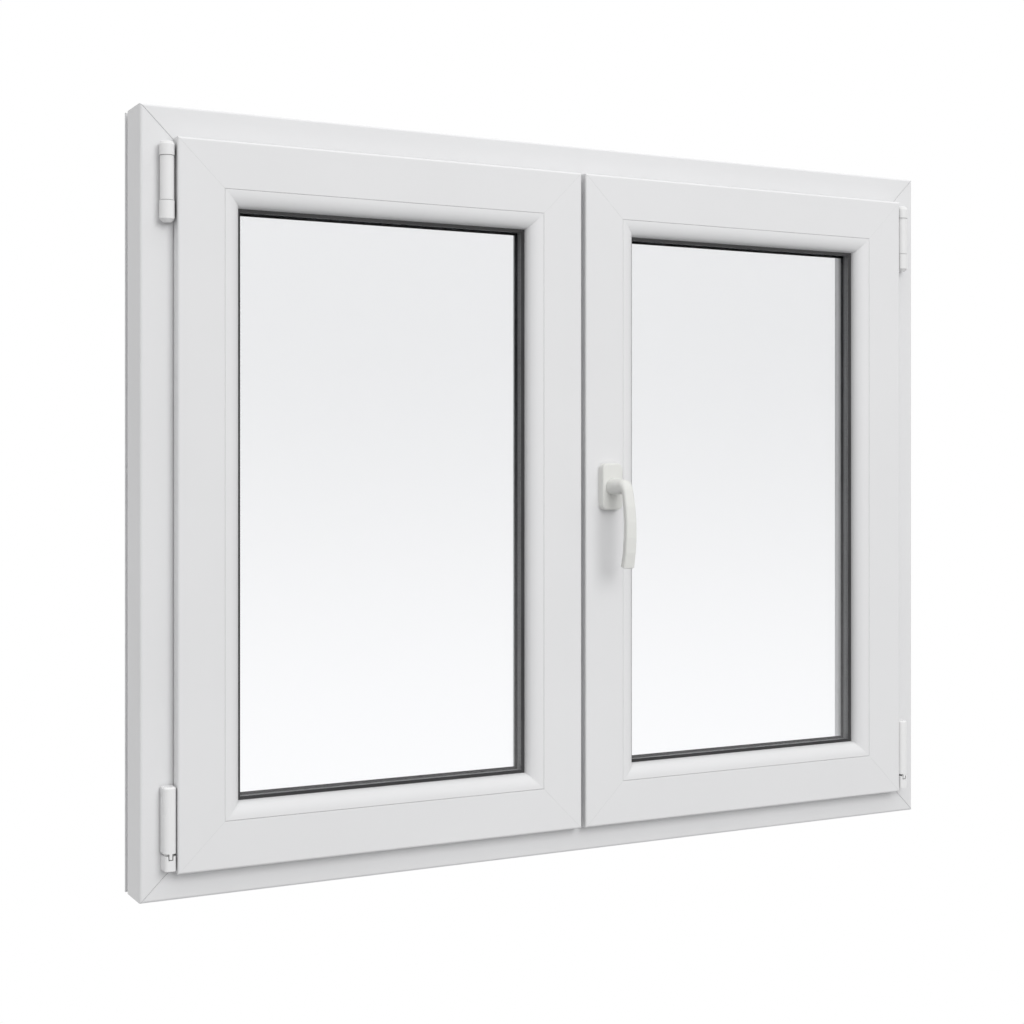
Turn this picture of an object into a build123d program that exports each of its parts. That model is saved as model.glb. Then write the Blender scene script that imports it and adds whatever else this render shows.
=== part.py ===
from build123d import *
import math
import os

# White PVC window with two inward-opening sashes, seen from the room as +Y points outdoors.
# Millimetres, +Z up, origin at the middle of the sill's underside.
# Profiles are drawn in (u, v): u runs inwards from a bar's outer edge, v towards the room.

# Outer frame
window_width = 1204.0
window_height = 970.0
frame_depth = 70.0
frame_leg = 50.0
frame_lip = 70.0
frame_lip_depth = 16.0
frame_edge_round = 3.0
frame_front_round = 3.5
fixing_groove_width = 10.0
fixing_groove_depth = 4.0
fixing_groove_margin = 3.0
profile_wall = 3.0
profile_web = 2.0
weld_groove = 1.0

# Drainage slots through the sill's outdoor wall
drain_slot_length = 28.0
drain_slot_height = 5.0
drain_slot_inset = 220.0
drain_slot_rise = 16.0

# Sashes
reveal_side = 41.0
reveal_top = 40.0
reveal_bottom = 35.0
sash_proud = 20.0
sash_lip_reach = 20.0
sash_face = 59.0
sash_edge_round = 3.0
seal_gap = 4.0
meeting_gap = 6.5
meeting_offset = 7.0
stop_height = 24.0
stop_flat = 8.0
stop_slope = 12.0
bead_groove = 0.8
sash_weld_groove = 0.2

# Glazing beads, panes and gaskets
bead_width = 21.5
bead_shoulder = 1.5
pane_recess = 18.0
pane_thickness = 4.0
pane_gap = 10.0
pane_clearance = 5.0
gasket_thickness = 2.0
gasket_foot = 10.0
inner_gasket_lip = 4.0
outer_gasket_lip = 4.0
spacer_sight = 3.0

# Weather seals
seal_width = 4.0
seal_inset = 3.0
frame_seal_inset = 2.0

# False mullion on the passive sash
mullion_clearance = 12.0
mullion_flange_reach = 14.0
mullion_flange_depth = 12.0
mullion_end_gap = 1.0
mullion_edge_round = 2.0

# Hinges
hinge_radius = 9.3
hinge_slot = 1.5
hinge_back_width = 12.0
hinge_plate = 2.0
hinge_knuckle_gap = 0.5
hinge_dome = 5.0
hinge_dome_steps = 2
hinge_taper = 4.0
hinge_arm_thickness = 4.0
hinge_arm_rise = 5.0
top_hinge_drop = 5.0
top_hinge_cap = 18.0
top_hinge_barrel = 55.0
top_hinge_sleeve = 26.0
barrel_inset = 0.75
bottom_bearing_rise = 5.0
bottom_bearing_height = 18.0
bottom_bearing_width = 14.0
bottom_cover_height = 80.5
bottom_cover_width = 16.0
bottom_cover_gap = 3.0
bottom_cover_slot = 0.6
cover_corner_round = 7.0
cover_end_bevel = 1.8
bearing_corner_round = 4.0
bearing_pin_radius = 3.5
bearing_pin_length = 14.0
pin_clearance = 0.2
tongue_width = 3.4
tongue_length = 6.6
tongue_depth = 4.0
tongue_clearance = 1.4

# Handle on the active sash
handle_height = 501.5
handle_backset = 36.0
rosette_width = 32.0
rosette_height = 64.0
rosette_depth = 12.0
rosette_corner = 8.0
rosette_edge = 2.5
rosette_edge_steps = 3
neck_radius = 9.5
neck_clearance = 0.08
neck_end_gap = 1.0
collar_radius = 11.4
collar_gap = 0.4
collar_end_radius = 9.6
lever_projection = 50.0
lever_elbow = 10.6
lever_lean = 16.0
lever_return = 1.0
lever_length = 109.0
lever_root = 20.0
lever_root_corner = 9.0
lever_waist = 15.6
lever_waist_thickness = 9.0
lever_tip = 17.6
lever_tip_thickness = 10.0
lever_tip_bevel = 1.2
lever_edge = 3.2
lever_elbow_steps = 5
lever_bow_steps = 5

# Derived depths, all measured towards the room from the middle of the frame's depth
frame_room = frame_depth / 2
frame_outdoor = -frame_depth / 2
frame_stop = frame_outdoor + frame_lip_depth
sash_room = frame_room + sash_proud
sash_outdoor = frame_stop + seal_gap
sash_lip_back = frame_room + seal_gap
inner_pane_face = sash_room - pane_recess
outer_pane_face = inner_pane_face - 2 * pane_thickness - pane_gap
sash_stop = outer_pane_face - gasket_thickness
bead_back = inner_pane_face + gasket_thickness
bead_edge = sash_face + bead_width
stop_edge = sash_face + stop_height
pane_edge = sash_face + pane_clearance

# Rectangles (x0, x1, z0, z1) that the bars are laid along
frame_box = (-window_width / 2, window_width / 2, 0.0, window_height)
left_box = (
    -window_width / 2 + reveal_side,
    meeting_offset - meeting_gap / 2,
    reveal_bottom,
    window_height - reveal_top,
)
right_box = (
    meeting_offset + meeting_gap / 2,
    window_width / 2 - reveal_side,
    reveal_bottom,
    window_height - reveal_top,
)


def outline(corners):
    """Closed profile through (u, v, radius) corners, each rounded to its radius."""
    face = Polygon(*[(u, v) for u, v, radius in corners], align=None)
    for u, v, radius in corners:
        if radius:
            corner = face.vertices().sort_by_distance((u, v, 0))[0]
            face = fillet(corner, radius)
    return face


def rectangle(u0, u1, v0, v1):
    """Plain rectangular profile between two corners."""
    return Polygon((u0, v0), (u1, v0), (u1, v1), (u0, v1), align=None)


def side_run(box, side):
    """Start point, direction, inward normal and length of one side of a rectangle."""
    x0, x1, z0, z1 = box
    runs = {
        "bottom": (Vector(x0, 0, z0), Vector(1, 0, 0), Vector(0, 0, 1), x1 - x0),
        "right": (Vector(x1, 0, z0), Vector(0, 0, 1), Vector(-1, 0, 0), z1 - z0),
        "top": (Vector(x1, 0, z1), Vector(-1, 0, 0), Vector(0, 0, -1), x1 - x0),
        "left": (Vector(x0, 0, z1), Vector(0, 0, -1), Vector(1, 0, 0), z1 - z0),
    }
    return runs[side]


def mitred_bar(profile, box, side):
    """A profile extruded along one side of a rectangle and cut at 45 degrees at both ends."""
    start, along, inward, length = side_run(box, side)
    bar = extrude(Plane(start, x_dir=inward, z_dir=along) * profile, length, dir=along)
    bar = split(bar, bisect_by=Plane(start, z_dir=along - inward), keep=Keep.TOP)
    end = start + along * length
    return split(bar, bisect_by=Plane(end, z_dir=-along - inward), keep=Keep.TOP)


def mitred_ring(profile, box):
    """A profile carried round all four sides of a rectangle as one piece."""
    ring = mitred_bar(profile, box, "bottom")
    for side in ("right", "top", "left"):
        ring += mitred_bar(profile, box, side)
    return ring


def weld_lines(box, face_depth, reach, groove):
    """The fine V that the cleaned weld leaves along each mitre on the room face."""
    cuts = Part()
    for side in ("bottom", "right", "top", "left"):
        start, along, inward, length = side_run(box, side)
        corner = start + Vector(0, -face_depth, 0)
        diagonal = Plane(corner, x_dir=along - inward, z_dir=along + inward)
        cuts += extrude(diagonal * Rectangle(groove, groove, rotation=45), reach * 2**0.5)
    return cuts


def slab(box, inset, v0, v1):
    """A flat pane inset from a rectangle, between two depths."""
    x0, x1, z0, z1 = box
    middle = Vector((x0 + x1) / 2, -(v0 + v1) / 2, (z0 + z1) / 2)
    return Pos(middle) * Box(x1 - x0 - 2 * inset, v1 - v0, z1 - z0 - 2 * inset)


def lathe(place, stations):
    """A round piece through (radius, distance) stations along a plane's normal."""
    rings = [place.offset(distance) * Circle(radius) for radius, distance in stations]
    return loft(rings, ruled=True)


def quarter_round(radius, steps):
    """Inset and rise of the stations along a rounded edge, from its foot to its top."""
    angles = [math.pi / 2 * step / steps for step in range(steps + 1)]
    return [(radius * (1 - math.cos(angle)), radius * math.sin(angle)) for angle in angles]


def between(start, end, share):
    """The value at a share of the way from start to end."""
    return start + (end - start) * share


def frame_profile():
    """Chambered L profile: a room-side leg and a taller outdoor stop."""
    solid = outline([
        (0, frame_outdoor, 0),
        (frame_lip, frame_outdoor, frame_edge_round),
        (frame_lip, frame_stop, 0),
        (frame_leg, frame_stop, 0),
        (frame_leg, frame_room, 0),
        (0, frame_room, frame_front_round),
    ])
    groove_start = frame_outdoor + fixing_groove_margin
    groove = rectangle(0, fixing_groove_depth, groove_start, groove_start + fixing_groove_width)
    stop_chamber = rectangle(
        fixing_groove_depth + profile_wall,
        frame_lip - profile_wall,
        frame_outdoor + profile_wall,
        frame_stop - profile_wall,
    )
    web_middle = (frame_stop + frame_room - profile_wall) / 2
    leg_end = frame_leg - profile_wall
    steel_chamber = rectangle(profile_wall, leg_end, frame_stop, web_middle - profile_web / 2)
    room_chamber = rectangle(
        profile_wall, leg_end, web_middle + profile_web / 2, frame_room - profile_wall
    )
    return solid - groove - stop_chamber - steel_chamber - room_chamber


def sash_profile():
    """Chambered Z profile: a room-side lip over the frame and a sloped outdoor stop for the glass."""
    slope_foot = stop_edge - stop_slope
    slope_top = sash_stop - stop_flat
    solid = outline([
        (sash_lip_reach, sash_outdoor, 0),
        (slope_foot, sash_outdoor, 0),
        (stop_edge, slope_top, 0),
        (stop_edge, sash_stop, 0),
        (sash_face, sash_stop, 0),
        (sash_face, sash_room, bead_groove),
        (0, sash_room, sash_edge_round),
        (0, sash_lip_back, 0),
        (sash_lip_reach, sash_lip_back, 0),
    ])
    stop = Polygon(
        (sash_face, sash_outdoor),
        (slope_foot, sash_outdoor),
        (stop_edge, slope_top),
        (stop_edge, sash_stop),
        (sash_face, sash_stop),
        align=None,
    )
    stop_chamber = offset(stop, -profile_wall)
    web_middle = (sash_outdoor + sash_room) / 2
    body_start = sash_lip_reach + profile_wall
    body_end = sash_face - profile_wall
    outdoor_chamber = rectangle(
        body_start, body_end, sash_outdoor + profile_wall, web_middle - profile_web / 2
    )
    room_chamber = rectangle(
        body_start, body_end, web_middle + profile_web / 2, sash_room - profile_wall
    )
    return solid - stop_chamber - outdoor_chamber - room_chamber


def bead_profile():
    """Clip-in glazing bead with a rounded face."""
    shoulder = sash_face + bead_shoulder
    curve = EllipticalCenterArc(
        (shoulder, bead_back),
        bead_edge - shoulder,
        sash_room - bead_back,
        start_angle=0,
        arc_size=90,
    )
    sides = Polyline(
        (shoulder, sash_room),
        (sash_face + bead_groove, sash_room),
        (sash_face, sash_room - bead_groove),
        (sash_face, bead_back),
        (bead_edge, bead_back),
    )
    return make_face([curve, sides])


def inner_gasket_profile():
    """Wedge gasket between bead and inner pane, its lip showing past the bead."""
    return Polygon(
        (bead_edge - gasket_foot, inner_pane_face),
        (bead_edge + inner_gasket_lip, inner_pane_face),
        (bead_edge, bead_back),
        (bead_edge - gasket_foot, bead_back),
        align=None,
    )


def outer_gasket_profile():
    """Wedge gasket between the sash's outdoor stop and the outer pane."""
    return Polygon(
        (stop_edge - gasket_foot, sash_stop),
        (stop_edge, sash_stop),
        (stop_edge + outer_gasket_lip, outer_pane_face),
        (stop_edge - gasket_foot, outer_pane_face),
        align=None,
    )


def build_frame():
    """Four welded bars, with drainage slots through the sill's outdoor wall."""
    profile = frame_profile()
    welds = weld_lines(frame_box, frame_room, frame_leg, weld_groove)
    names = {
        "bottom": "frame_sill",
        "right": "frame_right_jamb",
        "top": "frame_head",
        "left": "frame_left_jamb",
    }
    bars = {names[side]: mitred_bar(profile, frame_box, side) - welds for side in names}
    slot = SlotOverall(drain_slot_length, drain_slot_height)
    for x in (-window_width / 2 + drain_slot_inset, window_width / 2 - drain_slot_inset):
        mouth = Plane((x, -frame_outdoor, drain_slot_rise), x_dir=(1, 0, 0), z_dir=(0, -1, 0))
        bars["frame_sill"] -= extrude(mouth * slot, frame_lip_depth / 2)
    seal_start = frame_lip - frame_seal_inset - seal_width
    seal = rectangle(seal_start, seal_start + seal_width, frame_stop, sash_outdoor)
    bars["frame_seal"] = mitred_ring(seal, frame_box)
    return bars


def build_sash(side_name, box, stile_names):
    """One sash: four bars, four beads, the sealed glass unit and its gaskets and seal."""
    profile = sash_profile()
    bead = bead_profile()
    welds = weld_lines(box, sash_room, sash_face, sash_weld_groove)
    names = {"bottom": "bottom_rail", "top": "top_rail", **stile_names}
    pieces = {}
    for side, name in names.items():
        pieces[f"{side_name}_sash_{name}"] = mitred_bar(profile, box, side) - welds
        bead_name = name.replace("_rail", "").replace("_stile", "_side")
        pieces[f"{side_name}_bead_{bead_name}"] = mitred_bar(bead, box, side)
    inner_back = inner_pane_face - pane_thickness
    outer_front = outer_pane_face + pane_thickness
    pieces[f"{side_name}_inner_pane"] = slab(box, pane_edge, inner_back, inner_pane_face)
    pieces[f"{side_name}_outer_pane"] = slab(box, pane_edge, outer_pane_face, outer_front)
    filled = slab(box, pane_edge, outer_front, inner_back)
    pieces[f"{side_name}_spacer"] = filled - slab(
        box, bead_edge + spacer_sight, outer_front, inner_back
    )
    pieces[f"{side_name}_inner_gasket"] = mitred_ring(inner_gasket_profile(), box)
    pieces[f"{side_name}_outer_gasket"] = mitred_ring(outer_gasket_profile(), box)
    seal = rectangle(seal_inset, seal_inset + seal_width, frame_room, sash_lip_back)
    pieces[f"{side_name}_sash_seal"] = mitred_ring(seal, box)
    return pieces


def build_mullion():
    """False mullion screwed to the passive sash; its flange closes on the active sash."""
    passive_side = left_box[1] - sash_lip_reach
    active_side = right_box[0] + sash_lip_reach
    body_end = active_side - mullion_clearance
    flange_start = passive_side - mullion_flange_reach
    flange_end = active_side + mullion_flange_reach
    flange_top = sash_outdoor - seal_gap
    flange_back = flange_top - mullion_flange_depth

    def upright(x0, x1, v0, v1, end_inset, radius):
        height = window_height - 2 * end_inset
        post = Box(x1 - x0, v1 - v0, height)
        if radius:
            post = fillet(post.edges().filter_by(Axis.Z).group_by(Axis.Y)[-1], radius)
        return Pos((x0 + x1) / 2, -(v0 + v1) / 2, window_height / 2) * post

    body_inset = frame_leg + mullion_end_gap
    flange_inset = frame_lip + mullion_end_gap
    body = upright(passive_side, body_end, sash_outdoor, frame_room, body_inset, 0)
    seat = upright(flange_start, body_end, flange_top, sash_outdoor, flange_inset, 0)
    flange = upright(
        flange_start, flange_end, flange_back, flange_top, flange_inset, mullion_edge_round
    )
    seal_end = flange_end - frame_seal_inset
    seal = upright(seal_end - seal_width, seal_end, flange_top, sash_outdoor, flange_inset, 0)
    return {"false_mullion": body + seat + flange, "meeting_seal": seal}


def build_left_hinges():
    """Top hinge and bottom pivot between the left jamb and the left sash."""
    sash_edge = left_box[0]
    axis_x = sash_edge - hinge_slot - hinge_radius
    axis_v = sash_room - hinge_radius
    reach = axis_v - frame_room

    def knuckle(radius, z0, z1):
        return Pos(axis_x, -axis_v, z0) * Cylinder(
            radius, z1 - z0, align=(Align.CENTER, Align.CENTER, Align.MIN)
        )

    def back_block(z0, z1):
        return Pos(axis_x, -frame_room, z0) * Box(
            hinge_back_width, reach, z1 - z0, align=(Align.CENTER, Align.MAX, Align.MIN)
        )

    def sash_arm(z0, z1):
        return Pos(axis_x, -frame_room - hinge_arm_rise, z0) * Box(
            sash_edge - axis_x,
            hinge_arm_thickness,
            z1 - z0,
            align=(Align.MIN, Align.MAX, Align.MIN),
        )

    cap_top = left_box[3] - top_hinge_drop
    cap_base = cap_top - top_hinge_cap
    barrel_base = cap_base - top_hinge_barrel
    sleeve_base = barrel_base - top_hinge_sleeve
    dome_base = cap_top - hinge_dome
    dome = [
        (hinge_radius - inset, dome_base + rise)
        for inset, rise in quarter_round(hinge_dome, hinge_dome_steps)
    ]
    axis = Plane((axis_x, -axis_v, 0))
    cap = lathe(axis, [(hinge_radius, cap_base), *dome]) + back_block(cap_base, dome_base)
    taper_top = sleeve_base + hinge_taper
    tapered = [(hinge_radius - hinge_taper, sleeve_base), (hinge_radius, taper_top)]
    sleeve = lathe(axis, [*tapered, (hinge_radius, barrel_base)])
    sleeve += back_block(taper_top, barrel_base)
    plate = Pos(axis_x, -frame_room, taper_top) * Box(
        hinge_back_width,
        hinge_plate,
        cap_base - taper_top,
        align=(Align.CENTER, Align.MAX, Align.MIN),
    )
    barrel_low = barrel_base + hinge_knuckle_gap
    barrel_high = cap_base - hinge_knuckle_gap
    barrel = knuckle(hinge_radius - barrel_inset, barrel_low, barrel_high)

    bearing_base = left_box[2] + bottom_bearing_rise
    bearing_top = bearing_base + bottom_bearing_height
    block_x = sash_edge - bottom_cover_slot - bottom_cover_width / 2
    bearing = backed_block(block_x, bottom_bearing_width, bearing_base, bearing_top, frame_room)
    bearing = round_front(bearing, bearing_corner_round)
    cover_base = bearing_top + bottom_cover_gap
    cover_top = cover_base + bottom_cover_height
    cover = backed_block(
        block_x, bottom_cover_width, cover_base, cover_top, frame_room + hinge_plate
    )
    cover = round_front(cover, cover_corner_round)
    cover = chamfer(cover.edges().group_by(Axis.Z)[-1], cover_end_bevel)
    cover += sash_arm(cover_base + cover_corner_round, cover_top - cover_corner_round)
    pin = knuckle(bearing_pin_radius, bearing_base, bearing_top + bearing_pin_length)
    pin_bore = knuckle(
        bearing_pin_radius + pin_clearance,
        cover_base,
        bearing_top + bearing_pin_length + pin_clearance,
    )
    tongue_base = cover_base - tongue_length
    tongue = Pos(block_x, -sash_room, tongue_base) * Box(
        tongue_width,
        tongue_depth,
        tongue_length,
        align=(Align.CENTER, Align.MIN, Align.MIN),
    )
    notch = Pos(block_x, -sash_room, tongue_base - tongue_clearance) * Box(
        tongue_width + 2 * tongue_clearance,
        tongue_depth + tongue_clearance,
        tongue_length + tongue_clearance,
        align=(Align.CENTER, Align.MIN, Align.MIN),
    )
    return {
        "top_hinge_bearing": cap + sleeve + plate,
        "top_hinge_barrel": barrel + sash_arm(barrel_low, barrel_high),
        "bottom_hinge_bearing": bearing - notch + pin,
        "bottom_hinge_cover": cover + tongue - pin_bore,
    }


def backed_block(middle_x, width, z0, z1, back):
    """Hinge block from a back plane to the sash's room face."""
    block = Box(width, sash_room - back, z1 - z0)
    return Pos(middle_x, -(sash_room + back) / 2, (z0 + z1) / 2) * block


def round_front(block, radius):
    """The two upright front edges of a hinge block, rounded."""
    return fillet(block.edges().filter_by(Axis.Z).group_by(Axis.Y)[0], radius)


def build_handle():
    """Rosette on the active sash's meeting stile, and the lever that turns in it."""
    axis_x = right_box[0] + handle_backset
    plate = Plane((axis_x, -sash_room, handle_height), x_dir=(1, 0, 0), z_dir=(0, -1, 0))
    edge_foot = rosette_depth - rosette_edge
    rounded = [
        (inset, edge_foot + rise)
        for inset, rise in quarter_round(rosette_edge, rosette_edge_steps)
    ]
    layers = [
        plate.offset(height)
        * RectangleRounded(
            rosette_width - 2 * inset, rosette_height - 2 * inset, rosette_corner - inset
        )
        for inset, height in [(0, 0), *rounded]
    ]
    rosette = loft(layers, ruled=True)
    rosette -= extrude(plate * Circle(neck_radius + neck_clearance), rosette_depth)

    elbow_rise = lever_projection - lever_elbow
    collar_foot = rosette_depth + collar_gap
    spigot = lathe(plate, [(neck_radius, neck_end_gap), (neck_radius, collar_foot)])
    collar_end = elbow_rise + lever_edge
    collar = lathe(plate, [(collar_radius, collar_foot), (collar_end_radius, collar_end)])

    side_plane = Plane((axis_x, 0, handle_height), x_dir=(0, -1, 0), z_dir=(-1, 0, 0))
    elbow = JernArc((sash_room + elbow_rise, 0), (1, 0), lever_elbow, lever_lean - 90)
    tip = (sash_room + lever_projection - lever_return, -lever_length)
    bow = TangentArc(elbow @ 1, tip, tangent=elbow % 1)

    def station(path, share, width, thickness, corner):
        place = Plane(path @ share, x_dir=(1, 0, 0), z_dir=path % share)
        return place * RectangleRounded(width, thickness, corner)

    sections = []
    for step in range(lever_elbow_steps + 1):
        share = step / lever_elbow_steps
        width = between(lever_root, lever_waist, share)
        thinning = share**2 * (3 - 2 * share)
        thickness = between(lever_root, lever_waist_thickness, thinning)
        corner = between(lever_root_corner, lever_edge, share)
        sections.append(station(side_plane * elbow, share, width, thickness, corner))
    bevel_share = 1 - lever_tip_bevel / bow.length
    for step in range(1, lever_bow_steps + 1):
        share = bevel_share * step / lever_bow_steps
        width = between(lever_waist, lever_tip, share)
        thickness = between(lever_waist_thickness, lever_tip_thickness, share)
        sections.append(station(side_plane * bow, share, width, thickness, lever_edge))
    tip_width = lever_tip - 2 * lever_tip_bevel
    tip_thickness = lever_tip_thickness - 2 * lever_tip_bevel
    sections.append(station(side_plane * bow, 1, tip_width, tip_thickness, lever_edge))
    grip = loft(sections, ruled=True)
    return {"handle_rosette": rosette, "handle_lever": spigot + collar + grip}


left_stiles = {"left": "hinge_stile", "right": "meeting_stile"}
right_stiles = {"left": "meeting_stile", "right": "hinge_stile"}
nodes = {
    **build_frame(),
    **build_sash("left", left_box, left_stiles),
    **build_sash("right", right_box, right_stiles),
    **build_mullion(),
    **build_handle(),
}
for hinge_name, hinge in build_left_hinges().items():
    nodes[f"left_{hinge_name}"] = hinge
    nodes[f"right_{hinge_name}"] = mirror(hinge, about=Plane.YZ)

os.makedirs("parts", exist_ok=True)
for node_name, node in nodes.items():
    node.label = node_name
    export_step(node, f"parts/{node_name}.step")
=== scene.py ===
import math

import bmesh
import bpy
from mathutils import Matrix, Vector


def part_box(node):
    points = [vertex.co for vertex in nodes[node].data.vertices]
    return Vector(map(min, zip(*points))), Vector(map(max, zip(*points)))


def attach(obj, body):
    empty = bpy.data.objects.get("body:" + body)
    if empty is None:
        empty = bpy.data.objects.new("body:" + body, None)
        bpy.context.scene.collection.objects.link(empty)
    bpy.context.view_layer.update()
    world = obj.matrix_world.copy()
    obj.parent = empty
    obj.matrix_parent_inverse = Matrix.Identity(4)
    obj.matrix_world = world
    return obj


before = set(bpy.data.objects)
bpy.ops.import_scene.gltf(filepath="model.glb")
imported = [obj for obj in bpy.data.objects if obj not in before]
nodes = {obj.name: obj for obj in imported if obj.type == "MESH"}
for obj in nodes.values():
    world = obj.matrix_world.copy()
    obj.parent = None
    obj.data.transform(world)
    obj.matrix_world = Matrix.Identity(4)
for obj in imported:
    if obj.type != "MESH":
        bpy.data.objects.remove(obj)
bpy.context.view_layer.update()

# Outer frame: four chambered bars of white PVC, extruded, cut at 45 degrees and
# welded at the corners. The skin is satin, with faint streaks along each bar from
# the die and a fine orange peel; the weld bead is planed off and leaves a thin V.
PVC_WHITE = (0.802, 0.803, 0.810, 1.0)
PVC_GLOSS = 0.42
SKIN_SPECULAR = 0.4
CLOUD_SCALE = 7.0
CLOUD_GLOSS = 0.03
STREAK_SCALE = 260.0
STREAK_SQUEEZE = 0.012
STREAK_GLOSS = 0.06
NOISE_LOW = 0.3
NOISE_HIGH = 0.7
RELIEF_STRENGTH = 0.6
CREVICE_REACH = 0.004
CREVICE_SAMPLES = 6
# Painted shade in the frame's crevices and beside the proud sashes.
FRAME_CREVICE_SHADE = 0.12
FRAME_SEAM = 0.0009
FRAME_SEAM_DEPTH = 0.28


def feed(tree, value, socket):
    """Joins another node's output to an input socket, or sets the socket to a plain value."""
    if isinstance(value, bpy.types.NodeSocket):
        tree.links.new(value, socket)
    else:
        socket.default_value = value


def noise(tree, vector, scale, detail):
    """A noise texture read at the given vector; returns its factor output."""
    node = tree.nodes.new("ShaderNodeTexNoise")
    feed(tree, vector, node.inputs["Vector"])
    feed(tree, scale, node.inputs["Scale"])
    feed(tree, detail, node.inputs["Detail"])
    return node.outputs["Fac"]


def ramp(tree, value, low, high, at_low, at_high, curve="LINEAR"):
    """A clamped ramp that carries low to at_low and high to at_high."""
    node = tree.nodes.new("ShaderNodeMapRange")
    node.interpolation_type = curve
    feed(tree, value, node.inputs["Value"])
    feed(tree, low, node.inputs["From Min"])
    feed(tree, high, node.inputs["From Max"])
    feed(tree, at_low, node.inputs["To Min"])
    feed(tree, at_high, node.inputs["To Max"])
    return node.outputs["Result"]


def combine(tree, operation, first, second):
    """A math node on two values, each a socket or a number."""
    node = tree.nodes.new("ShaderNodeMath")
    node.operation = operation
    feed(tree, first, node.inputs[0])
    feed(tree, second, node.inputs[1])
    return node.outputs["Value"]


def dimmed(tree, colour, mask, depth):
    """A colour taken down by depth where the mask is one."""
    node = tree.nodes.new("ShaderNodeVectorMath")
    node.operation = "SCALE"
    loss = combine(tree, "MULTIPLY", mask, depth)
    feed(tree, colour, node.inputs["Vector"])
    feed(tree, combine(tree, "SUBTRACT", 1.0, loss), node.inputs["Scale"])
    return node.outputs["Vector"]


def group_sockets(group, inputs, outputs):
    """Declares a node group's named inputs, with their start values, and its outputs."""
    for name, kind, start in inputs:
        socket = group.interface.new_socket(name, in_out="INPUT", socket_type=kind)
        if start is not None:
            socket.default_value = start
    for name, kind in outputs:
        group.interface.new_socket(name, in_out="OUTPUT", socket_type=kind)
    entry = group.nodes.new("NodeGroupInput")
    leave = group.nodes.new("NodeGroupOutput")
    return entry.outputs, leave.inputs


def place_group(tree, group, values):
    """Places a shader node group in a material with its own values; returns its outputs."""
    node = tree.nodes.new("ShaderNodeGroup")
    node.node_tree = group
    for name, value in values.items():
        feed(tree, value, node.inputs[name])
    return node.outputs


def moulded_skin_group():
    """Skin shared by all plastics: slow mottle, streaks along one way and orange peel."""
    group = bpy.data.node_groups.new("moulded_skin", "ShaderNodeTree")
    entry, leave = group_sockets(
        group,
        (
            ("Place", "NodeSocketVector", None),
            ("Along", "NodeSocketVector", None),
            ("Tone", "NodeSocketColor", PVC_WHITE),
            ("Gloss", "NodeSocketFloat", PVC_GLOSS),
            ("Mottle", "NodeSocketFloat", 0.02),
            ("Streaks", "NodeSocketFloat", 0.5),
            ("Peel Scale", "NodeSocketFloat", 500.0),
        ),
        (
            ("Color", "NodeSocketColor"),
            ("Roughness", "NodeSocketFloat"),
            ("Height", "NodeSocketFloat"),
        ),
    )
    clouds = noise(group, entry["Place"], CLOUD_SCALE, 3.0)
    cloud = ramp(group, clouds, NOISE_LOW, NOISE_HIGH, 0.0, 1.0)
    streaks = noise(group, entry["Along"], STREAK_SCALE, 2.0)
    streak = ramp(group, streaks, NOISE_LOW, NOISE_HIGH, 0.0, 1.0)
    peel = noise(group, entry["Place"], entry["Peel Scale"], 1.5)
    feed(group, dimmed(group, entry["Tone"], cloud, entry["Mottle"]), leave["Color"])
    lines = combine(group, "MULTIPLY", streak, entry["Streaks"])
    line_gloss = combine(group, "MULTIPLY", lines, STREAK_GLOSS)
    cloud_gloss = combine(group, "MULTIPLY", cloud, CLOUD_GLOSS)
    gloss = combine(group, "ADD", entry["Gloss"], line_gloss)
    feed(group, combine(group, "ADD", gloss, cloud_gloss), leave["Roughness"])
    feed(group, combine(group, "ADD", peel, lines), leave["Height"])
    return group


def mitre_seam_group():
    """One along the four 45 degree joints of a rectangle of bars, and nought elsewhere."""
    group = bpy.data.node_groups.new("mitre_seam", "ShaderNodeTree")
    entry, leave = group_sockets(
        group,
        (
            ("Place", "NodeSocketVector", None),
            ("Middle", "NodeSocketVector", None),
            ("Half Width", "NodeSocketFloat", 0.5),
            ("Half Height", "NodeSocketFloat", 0.5),
            ("Seam", "NodeSocketFloat", FRAME_SEAM),
        ),
        (("Mask", "NodeSocketFloat"),),
    )
    offset = group.nodes.new("ShaderNodeVectorMath")
    offset.operation = "SUBTRACT"
    feed(group, entry["Place"], offset.inputs[0])
    feed(group, entry["Middle"], offset.inputs[1])
    axes = group.nodes.new("ShaderNodeSeparateXYZ")
    feed(group, offset.outputs["Vector"], axes.inputs["Vector"])
    aside = combine(group, "ABSOLUTE", axes.outputs["X"], 0.0)
    above = combine(group, "ABSOLUTE", axes.outputs["Z"], 0.0)
    from_side = combine(group, "SUBTRACT", entry["Half Width"], aside)
    from_end = combine(group, "SUBTRACT", entry["Half Height"], above)
    apart = combine(group, "ABSOLUTE", combine(group, "SUBTRACT", from_side, from_end), 0.0)
    share = combine(group, "DIVIDE", apart, entry["Seam"])
    near = combine(group, "SUBTRACT", 1.0, combine(group, "MINIMUM", share, 1.0))
    feed(group, near, leave["Mask"])
    return group


moulded_skin = moulded_skin_group()
mitre_seam = mitre_seam_group()


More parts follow.
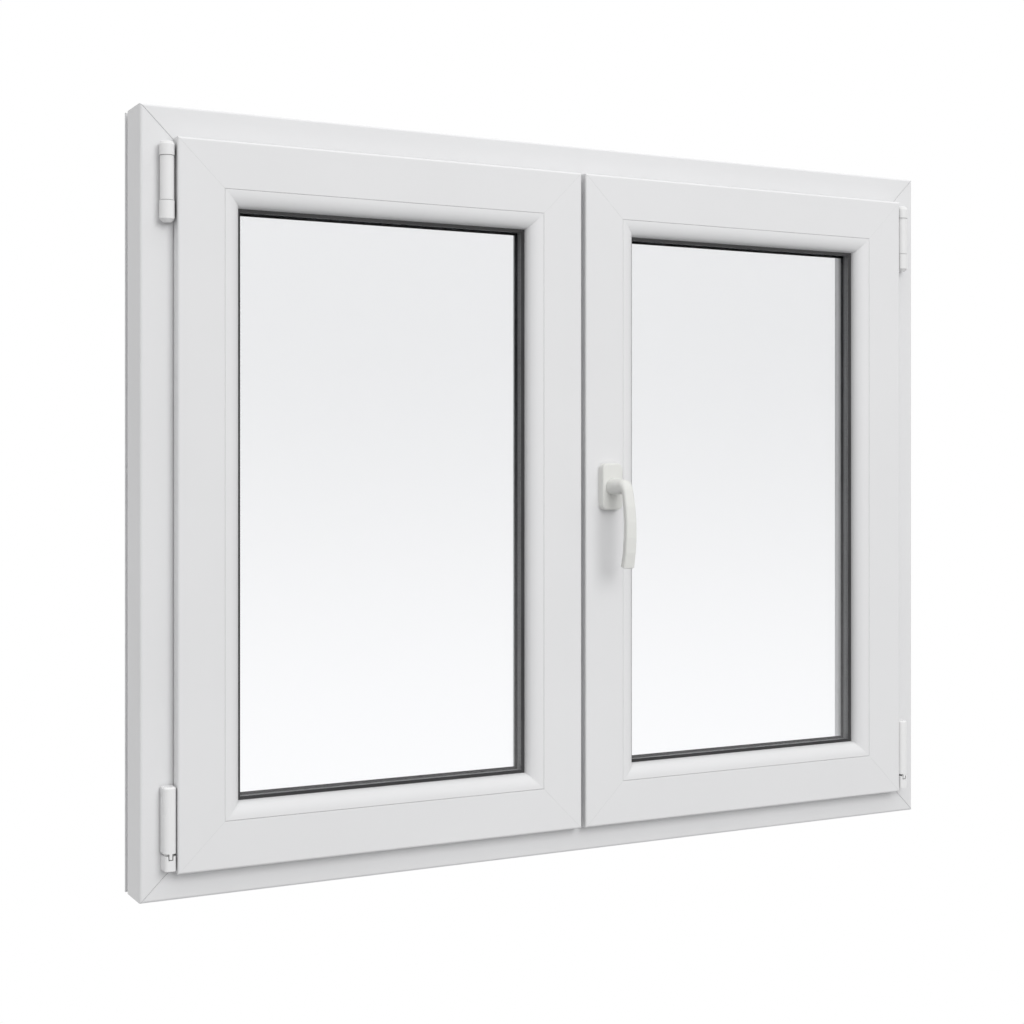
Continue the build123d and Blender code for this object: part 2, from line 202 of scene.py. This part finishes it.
def plastic(
    name, tone, gloss, squeeze, mottle=0.02, streaks=0.5, peel=500.0, bump=0.00001,
    crevice_shade=0.0, seam=None, seam_depth=0.0,
):
    """A plastic with the shared skin; squeeze slows the streaks down along the bar.

    The crevice shade argument is painted shade: it darkens crevices and gaps by how much an ambient
    occlusion reading finds them closed in. Seam holds the values of the seam group for a ring of
    welded bars, and seam_depth is how dark the joints are.
    """
    material = bpy.data.materials.new(name)
    material.use_nodes = True
    tree = material.node_tree
    shader = tree.nodes["Principled BSDF"]
    shader.inputs["Specular IOR Level"].default_value = SKIN_SPECULAR
    place = tree.nodes.new("ShaderNodeTexCoord").outputs["Object"]
    along = tree.nodes.new("ShaderNodeMapping")
    feed(tree, squeeze, along.inputs["Scale"])
    feed(tree, place, along.inputs["Vector"])
    skin = place_group(
        tree,
        moulded_skin,
        {
            "Place": place,
            "Along": along.outputs["Vector"],
            "Tone": tone,
            "Gloss": gloss,
            "Mottle": mottle,
            "Streaks": streaks,
            "Peel Scale": peel,
        },
    )
    colour = skin["Color"]
    # Painted shade: the colour is darkened in crevices and gaps by an ambient occlusion reading.
    if crevice_shade:
        crevice = tree.nodes.new("ShaderNodeAmbientOcclusion")
        crevice.samples = CREVICE_SAMPLES
        feed(tree, CREVICE_REACH, crevice.inputs["Distance"])
        occlusion_shade = combine(tree, "SUBTRACT", 1.0, crevice.outputs["AO"])
        colour = dimmed(tree, colour, occlusion_shade, crevice_shade)
    if seam:
        joint = place_group(tree, mitre_seam, {"Place": place, **seam})
        colour = dimmed(tree, colour, joint["Mask"], seam_depth)
    relief = tree.nodes.new("ShaderNodeBump")
    feed(tree, RELIEF_STRENGTH, relief.inputs["Strength"])
    feed(tree, bump, relief.inputs["Distance"])
    feed(tree, skin["Height"], relief.inputs["Height"])
    feed(tree, colour, shader.inputs["Base Color"])
    feed(tree, skin["Roughness"], shader.inputs["Roughness"])
    feed(tree, relief.outputs["Normal"], shader.inputs["Normal"])
    return material


def finish_nodes(material, names):
    """Gives CAD pieces their finish."""
    for name in names:
        nodes[name].data.materials.clear()
        nodes[name].data.materials.append(material)


def ring_seam(lower_bar, upper_bar, width):
    """The seam group's values for the ring of bars between a lower and an upper bar."""
    low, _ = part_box(lower_bar)
    _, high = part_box(upper_bar)
    return {
        "Middle": [(low[axis] + high[axis]) / 2 for axis in range(3)],
        "Half Width": (high[0] - low[0]) / 2,
        "Half Height": (high[2] - low[2]) / 2,
        "Seam": width,
    }


def pvc_pair(name, level_crevice_shade, upright_crevice_shade, **seam):
    """White PVC for the level bars and for the upright bars of one ring, each with its own amount
    of painted crevice shade.
    """
    along_x = (STREAK_SQUEEZE, 1, 1)
    along_z = (1, 1, STREAK_SQUEEZE)
    level = plastic(f"{name}_level", PVC_WHITE, PVC_GLOSS, along_x, crevice_shade=level_crevice_shade, **seam)
    upright = plastic(
        f"{name}_upright", PVC_WHITE, PVC_GLOSS, along_z, crevice_shade=upright_crevice_shade, **seam
    )
    return level, upright


frame_seam = ring_seam("frame_sill", "frame_head", FRAME_SEAM)
frame_level, frame_upright = pvc_pair(
    "frame_pvc", FRAME_CREVICE_SHADE, FRAME_CREVICE_SHADE, seam=frame_seam, seam_depth=FRAME_SEAM_DEPTH
)
finish_nodes(frame_level, ("frame_head", "frame_sill"))
finish_nodes(frame_upright, ("frame_left_jamb", "frame_right_jamb"))

# Weather seals: soft black rubber strips pressed into the rebate of the frame, the
# lip of each sash and the false mullion. They are extruded, matt and slightly dusty.
RUBBER_BLACK = (0.062, 0.062, 0.064, 1.0)

rubber = plastic(
    "black_rubber", RUBBER_BLACK, gloss=0.45, squeeze=(0.2, 0.2, 0.2),
    mottle=0.35, peel=900.0, bump=0.00003,
)
seals = ("frame_seal", "left_sash_seal", "right_sash_seal", "meeting_seal")
finish_nodes(rubber, seals)

# Sashes: two welded rings of the same white PVC, a Z profile whose lip laps over the
# frame on the room side. Rails run level, stiles run upright.
SASHES = ("left", "right")
SASH_SEAM = 0.0011
SASH_SEAM_DEPTH = 0.012
# Painted shade darkens the sash's crevices: the bead grooves, the meeting gap and the slots by the
# hinges.
RAIL_CREVICE_SHADE = 0.5
STILE_CREVICE_SHADE = 0.25

for sash in SASHES:
    rails = (f"{sash}_sash_bottom_rail", f"{sash}_sash_top_rail")
    stiles = (f"{sash}_sash_hinge_stile", f"{sash}_sash_meeting_stile")
    sash_seam = ring_seam(*rails, SASH_SEAM)
    sash_level, sash_upright = pvc_pair(
        f"{sash}_sash_pvc", RAIL_CREVICE_SHADE, STILE_CREVICE_SHADE, seam=sash_seam, seam_depth=SASH_SEAM_DEPTH
    )
    finish_nodes(sash_level, rails)
    finish_nodes(sash_upright, stiles)

# Sealed glass units: two 4 mm panes of float glass either side of a dark grey spacer
# bar, which is glued to both and has two rows of fine holes towards the dry gap.
GLASS_TINT = (0.985, 0.988, 0.995, 1.0)
GLASS_IOR = 1.5
SPACER_GREY = (0.330, 0.333, 0.338, 1.0)
# The plugs' near-black colour is painted shade for the inside of each hole.
HOLE_SHADE_COLOUR = (0.012, 0.012, 0.013, 1.0)
HOLE_PITCH = 0.005
HOLE_RADIUS = 0.00045
HOLE_PROUD = 0.0001
HOLE_ROW_GAP = 0.005
HOLE_SIDES = 6


def clear_glass():
    """Float glass that lets lamp light and bounced light through to the rebate behind it."""
    material = bpy.data.materials.new("clear_float_glass")
    material.use_nodes = True
    tree = material.node_tree
    shader = tree.nodes["Principled BSDF"]
    shader.inputs["Base Color"].default_value = GLASS_TINT
    shader.inputs["Transmission Weight"].default_value = 1.0
    shader.inputs["Roughness"].default_value = 0.0
    shader.inputs["IOR"].default_value = GLASS_IOR
    passing = tree.nodes.new("ShaderNodeBsdfTransparent")
    passing.inputs["Color"].default_value = GLASS_TINT
    path = tree.nodes.new("ShaderNodeLightPath").outputs
    soft = combine(tree, "MAXIMUM", path["Is Shadow Ray"], path["Is Diffuse Ray"])
    choice = tree.nodes.new("ShaderNodeMixShader")
    feed(tree, soft, choice.inputs["Fac"])
    feed(tree, shader.outputs["BSDF"], choice.inputs[1])
    feed(tree, passing.outputs["BSDF"], choice.inputs[2])
    feed(tree, choice.outputs["Shader"], tree.nodes["Material Output"].inputs["Surface"])
    return material


def vent_hole_group():
    """Two rows of short dark plugs, evenly spaced along a closed path, facing inwards."""
    group = bpy.data.node_groups.new("vent_holes", "GeometryNodeTree")
    entry, leave = group_sockets(
        group,
        (
            ("Path", "NodeSocketGeometry", None),
            ("Pitch", "NodeSocketFloat", HOLE_PITCH),
            ("Radius", "NodeSocketFloat", HOLE_RADIUS),
            ("Proud", "NodeSocketFloat", HOLE_PROUD),
            ("Row Gap", "NodeSocketFloat", HOLE_ROW_GAP),
            ("Material", "NodeSocketMaterial", None),
        ),
        (("Holes", "NodeSocketGeometry"),),
    )
    path = group.nodes.new("GeometryNodeMeshToCurve")
    feed(group, entry["Path"], path.inputs["Mesh"])
    spaced = group.nodes.new("GeometryNodeResampleCurve")
    spaced.mode = "LENGTH"
    feed(group, path.outputs["Curve"], spaced.inputs["Curve"])
    feed(group, entry["Pitch"], spaced.inputs["Length"])
    plug = group.nodes.new("GeometryNodeMeshCylinder")
    feed(group, HOLE_SIDES, plug.inputs["Vertices"])
    feed(group, entry["Radius"], plug.inputs["Radius"])
    feed(group, entry["Proud"], plug.inputs["Depth"])
    tangent = group.nodes.new("GeometryNodeInputTangent")
    inward = group.nodes.new("ShaderNodeVectorMath")
    inward.operation = "CROSS_PRODUCT"
    feed(group, tangent.outputs["Tangent"], inward.inputs[0])
    feed(group, (0.0, 1.0, 0.0), inward.inputs[1])
    turn = group.nodes.new("FunctionNodeAlignRotationToVector")
    turn.axis = "Z"
    feed(group, inward.outputs["Vector"], turn.inputs["Vector"])
    rows = group.nodes.new("GeometryNodeJoinGeometry")
    for side in (-0.5, 0.5):
        shift = group.nodes.new("ShaderNodeCombineXYZ")
        feed(group, combine(group, "MULTIPLY", entry["Row Gap"], side), shift.inputs["Y"])
        row = group.nodes.new("GeometryNodeSetPosition")
        feed(group, spaced.outputs["Curve"], row.inputs["Geometry"])
        feed(group, shift.outputs["Vector"], row.inputs["Offset"])
        placed = group.nodes.new("GeometryNodeInstanceOnPoints")
        feed(group, row.outputs["Geometry"], placed.inputs["Points"])
        feed(group, plug.outputs["Mesh"], placed.inputs["Instance"])
        feed(group, turn.outputs["Rotation"], placed.inputs["Rotation"])
        feed(group, placed.outputs["Instances"], rows.inputs["Geometry"])
    real = group.nodes.new("GeometryNodeRealizeInstances")
    feed(group, rows.outputs["Geometry"], real.inputs["Geometry"])
    finish = group.nodes.new("GeometryNodeSetMaterial")
    feed(group, real.outputs["Geometry"], finish.inputs["Geometry"])
    feed(group, entry["Material"], finish.inputs["Material"])
    feed(group, finish.outputs["Geometry"], leave["Holes"])
    return group


def grown_mesh(name, start, tree, settings):
    """The plain mesh that a geometry node tree makes of a start mesh."""
    grower = bpy.data.objects.new(name, start)
    bpy.context.scene.collection.objects.link(grower)
    modifier = grower.modifiers.new("grow", "NODES")
    modifier.node_group = tree
    for socket in tree.interface.items_tree:
        if socket.in_out == "INPUT" and socket.name in settings:
            modifier[socket.identifier] = settings[socket.name]
    posed = grower.evaluated_get(bpy.context.evaluated_depsgraph_get())
    mesh = bpy.data.meshes.new_from_object(posed)
    bpy.data.objects.remove(grower)
    return mesh


def sight_loop(spacer):
    """A closed path along the middle of the spacer's inner faces, one step in from its ends."""
    bar = nodes[spacer].data.vertices
    across = sorted({round(vertex.co.x, 5) for vertex in bar})
    upward = sorted({round(vertex.co.z, 5) for vertex in bar})
    middle = sum(vertex.co.y for vertex in bar) / len(bar)
    corners = [
        (across[1], middle, upward[1]),
        (across[-2], middle, upward[1]),
        (across[-2], middle, upward[-2]),
        (across[1], middle, upward[-2]),
    ]
    loop = bpy.data.meshes.new("sight_line")
    loop.from_pydata(corners, [(0, 1), (1, 2), (2, 3), (3, 0)], [])
    return loop


glass = clear_glass()
spacer_plastic = plastic(
    "grey_spacer", SPACER_GREY, gloss=0.38, squeeze=(0.1, 0.1, 0.1), mottle=0.12, peel=700.0
)
# Painted shade: near-black plugs stand for the shaded inside of the spacer's holes.
painted_hole_shade = plastic("spacer_hole_shade_plugs", HOLE_SHADE_COLOUR, gloss=0.7, squeeze=(1, 1, 1), mottle=0.3)
vent_holes = vent_hole_group()
for sash in SASHES:
    finish_nodes(glass, (f"{sash}_inner_pane", f"{sash}_outer_pane"))
    finish_nodes(spacer_plastic, (f"{sash}_spacer",))
    sight_line = sight_loop(f"{sash}_spacer")
    hole_mesh = grown_mesh("sight_line", sight_line, vent_holes, {"Material": painted_hole_shade})
    holes = bpy.data.objects.new(f"{sash}_spacer_hole_shade_plugs", hole_mesh)
    bpy.context.scene.collection.objects.link(holes)
    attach(holes, "window")

# Glazing gaskets: black rubber wedges between glass and PVC on both faces, mitred at
# the corners, whose lips show as a dark line round each pane.
for sash in SASHES:
    finish_nodes(rubber, (f"{sash}_inner_gasket", f"{sash}_outer_gasket"))

# Glazing beads: slim white PVC mouldings with a convex face, mitred and clipped into
# the sash to hold the glass from the room side.
# Painted shade darkens the beads in their grooves and next to the gaskets.
LEVEL_BEAD_CREVICE_SHADE = 0.4
UPRIGHT_BEAD_CREVICE_SHADE = 0.05

bead_level, bead_upright = pvc_pair("bead_pvc", LEVEL_BEAD_CREVICE_SHADE, UPRIGHT_BEAD_CREVICE_SHADE)
for sash in SASHES:
    level_beads = (f"{sash}_bead_top", f"{sash}_bead_bottom")
    upright_beads = (f"{sash}_bead_hinge_side", f"{sash}_bead_meeting_side")
    finish_nodes(bead_level, level_beads)
    finish_nodes(bead_upright, upright_beads)

# False mullion: a white PVC upright screwed to the left sash, with a flange that
# closes against the right sash from outdoors.
finish_nodes(frame_upright, ("false_mullion",))

# Hinges: a round hinge at the top and a pivot under a cover at the bottom of each
# outer stile, with white moulded plastic covers over steel.
HINGE_WHITE = (0.845, 0.845, 0.845, 1.0)
HINGE_GLOSS = 0.27
# Painted shade darkens the hinge joints and the slot between each hinge and its sash.
BARREL_CREVICE_SHADE = 0.85
COVER_CREVICE_SHADE = 0.15

barrel_plastic, cover_plastic = (
    plastic(
        name, HINGE_WHITE, HINGE_GLOSS, squeeze=(1, 1, 0.1), streaks=0.1, peel=420.0, crevice_shade=crevice_shade
    )
    for name, crevice_shade in (("white_barrels", BARREL_CREVICE_SHADE), ("white_covers", COVER_CREVICE_SHADE))
)
for sash in SASHES:
    barrels = (f"{sash}_top_hinge_bearing", f"{sash}_top_hinge_barrel")
    covers = (f"{sash}_bottom_hinge_bearing", f"{sash}_bottom_hinge_cover")
    finish_nodes(barrel_plastic, barrels)
    finish_nodes(cover_plastic, covers)

# Handle: a die-cast lever on a rosette, both coated in a warmer white than the PVC,
# with the fine grain of a baked powder coat.
HANDLE_WHITE = (0.775, 0.778, 0.752, 1.0)

powder_coat = plastic(
    "white_powder_coat", HANDLE_WHITE, gloss=0.36, squeeze=(1, 1, 1),
    streaks=0.0, peel=1300.0, bump=0.00004,
)
finish_nodes(powder_coat, ("handle_rosette", "handle_lever"))

# Stage: the window hangs at sill height over a pale studio floor, before a white
# surround; both show as white wherever the camera meets them. Black cards close behind
# the panes, out of sight, stand for a dark outdoors and keep back light off the beads.
SILL_HEIGHT = 0.9
FLOOR_REACH = 14.0
FLOOR_DIM = (0.35, 0.35, 0.352, 1.0)
FLOOR_ROUGHNESS = 0.9
CARD_GAP = 0.0025
CARD_BLACK = (0.02, 0.02, 0.02, 1.0)


def seen_ray(tree):
    """One where the camera, a mirror or glass looks at the stage, and nought elsewhere."""
    path = tree.nodes.new("ShaderNodeLightPath").outputs
    seen = combine(tree, "MAXIMUM", path["Is Camera Ray"], path["Is Glossy Ray"])
    return combine(tree, "MAXIMUM", seen, path["Is Transmission Ray"])


def floor_finish():
    """Paint that looks white and throws little light up under the window."""
    material = bpy.data.materials.new("pale_floor")
    material.use_nodes = True
    tree = material.node_tree
    dim = tree.nodes["Principled BSDF"]
    dim.inputs["Base Color"].default_value = FLOOR_DIM
    dim.inputs["Roughness"].default_value = FLOOR_ROUGHNESS
    pale = tree.nodes.new("ShaderNodeEmission")
    choice = tree.nodes.new("ShaderNodeMixShader")
    feed(tree, seen_ray(tree), choice.inputs["Fac"])
    feed(tree, dim.outputs["BSDF"], choice.inputs[1])
    feed(tree, pale.outputs["Emission"], choice.inputs[2])
    feed(tree, choice.outputs["Shader"], tree.nodes["Material Output"].inputs["Surface"])
    return material


def card_finish():
    """Plain black card."""
    material = bpy.data.materials.new("card_black")
    material.use_nodes = True
    shader = material.node_tree.nodes["Principled BSDF"]
    shader.inputs["Base Color"].default_value = CARD_BLACK
    return material


def staged(name, mesh, material, seen):
    """Puts a mesh on the stage; it is mirrored in nothing, and seen says if it shows at all."""
    mesh.materials.append(material)
    prop = bpy.data.objects.new(name, mesh)
    prop.visible_camera = seen
    prop.visible_glossy = False
    prop.visible_transmission = False
    bpy.context.scene.collection.objects.link(prop)


floor_mesh = bpy.data.meshes.new("floor")
floor_shape = bmesh.new()
bmesh.ops.create_grid(floor_shape, x_segments=1, y_segments=1, size=FLOOR_REACH)
bmesh.ops.translate(floor_shape, verts=floor_shape.verts, vec=(0, 0, -SILL_HEIGHT))
floor_shape.to_mesh(floor_mesh)
floor_shape.free()
staged("floor", floor_mesh, floor_finish(), seen=True)

card_black = card_finish()
for sash in SASHES:
    low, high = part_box(f"{sash}_outer_pane")
    back = high[1] + CARD_GAP
    corners = ((low[0], low[2]), (high[0], low[2]), (high[0], high[2]), (low[0], high[2]))
    card_mesh = bpy.data.meshes.new(f"{sash}_shade_card")
    card_mesh.from_pydata([(x, back, z) for x, z in corners], [], [(0, 1, 2, 3)])
    staged(f"{sash}_shade_card", card_mesh, card_black, seen=False)

# Light: a surround that brightens overhead and a little to either side, and one large
# soft panel in the room, high in front of the window. Behind the viewer the surround
# darkens upwards, which is what the panes mirror.
SKY_LEVEL = 0.10
SKY_TOP = 1.36
SKY_LEFT = 0.34
SKY_RIGHT = 0.16
SIDE_FALL = 2.0
MIRROR_HIGH = 0.09
MIRROR_LOW = -0.20
MIRROR_EDGE = -0.2
PANEL_PLACE = (0.25, -4.35, 2.3)
PANEL_AIM = (0.0, 0.0, 0.48)
PANEL_SIZE = 2.6
PANEL_POWER = 104.5


def side_light(tree, sideways, level):
    """Light that grows from nought straight ahead to its level at the side."""
    growth = combine(tree, "POWER", sideways, SIDE_FALL)
    return combine(tree, "MULTIPLY", growth, level)


def studio_surround():
    """World light by direction for the surfaces, white for the camera and a ramp for mirrors."""
    world = bpy.data.worlds.new("studio")
    world.use_nodes = True
    tree = world.node_tree
    way = tree.nodes.new("ShaderNodeTexCoord").outputs["Generated"]
    axes = tree.nodes.new("ShaderNodeSeparateXYZ")
    feed(tree, way, axes.inputs["Vector"])
    overhead = ramp(tree, axes.outputs["Z"], 0.0, 1.0, SKY_LEVEL, SKY_TOP)
    leftward = ramp(tree, axes.outputs["X"], -1.0, 0.0, 1.0, 0.0)
    rightward = ramp(tree, axes.outputs["X"], 0.0, 1.0, 0.0, 1.0)
    from_left = side_light(tree, leftward, SKY_LEFT)
    from_right = side_light(tree, rightward, SKY_RIGHT)
    lit = combine(tree, "ADD", overhead, combine(tree, "ADD", from_left, from_right))
    mirrored = ramp(
        tree, axes.outputs["Z"], MIRROR_LOW, MIRROR_HIGH, 1.0, 0.0, curve="SMOOTHSTEP"
    )
    outdoors = ramp(tree, axes.outputs["Y"], MIRROR_EDGE, 0.0, 0.0, 1.0)
    in_glass = combine(tree, "MAXIMUM", mirrored, outdoors)
    camera_ray = tree.nodes.new("ShaderNodeLightPath").outputs["Is Camera Ray"]
    blend = tree.nodes.new("ShaderNodeMix")
    feed(tree, seen_ray(tree), blend.inputs["Factor"])
    feed(tree, lit, blend.inputs["A"])
    feed(tree, combine(tree, "MAXIMUM", in_glass, camera_ray), blend.inputs["B"])
    background = tree.nodes["Background"]
    background.inputs["Color"].default_value = (1, 1, 1, 1)
    feed(tree, blend.outputs["Result"], background.inputs["Strength"])
    return world


bpy.context.scene.world = studio_surround()
lamp = bpy.data.lights.new("soft_panel", "AREA")
lamp.shape = "SQUARE"
lamp.size = PANEL_SIZE
lamp.energy = PANEL_POWER
panel = bpy.data.objects.new("soft_panel", lamp)
panel.location = PANEL_PLACE
panel.rotation_euler = (Vector(PANEL_AIM) - Vector(PANEL_PLACE)).to_track_quat("-Z", "Y").to_euler()
panel.visible_glossy = False
panel.visible_transmission = False
bpy.context.scene.collection.objects.link(panel)

# Camera: level, left of the window and turned towards it, with the picture shifted
# down so that upright edges stay upright.
VIEW_PLACE = (-1.1581, -2.0607, 0.5339)
VIEW_TURN = -27.72
VIEW_LENS = 59.63
VIEW_SENSOR = 36.0
VIEW_SHIFT = -0.0478

view = bpy.data.cameras.new("view")
view.sensor_width = VIEW_SENSOR
view.lens = VIEW_LENS
view.shift_y = VIEW_SHIFT
viewer = bpy.data.objects.new("view", view)
viewer.location = VIEW_PLACE
viewer.rotation_euler = (math.radians(90), 0, math.radians(VIEW_TURN))
bpy.context.scene.collection.objects.link(viewer)
bpy.context.scene.camera = viewer
bpy.context.scene.view_settings.view_transform = "Standard"
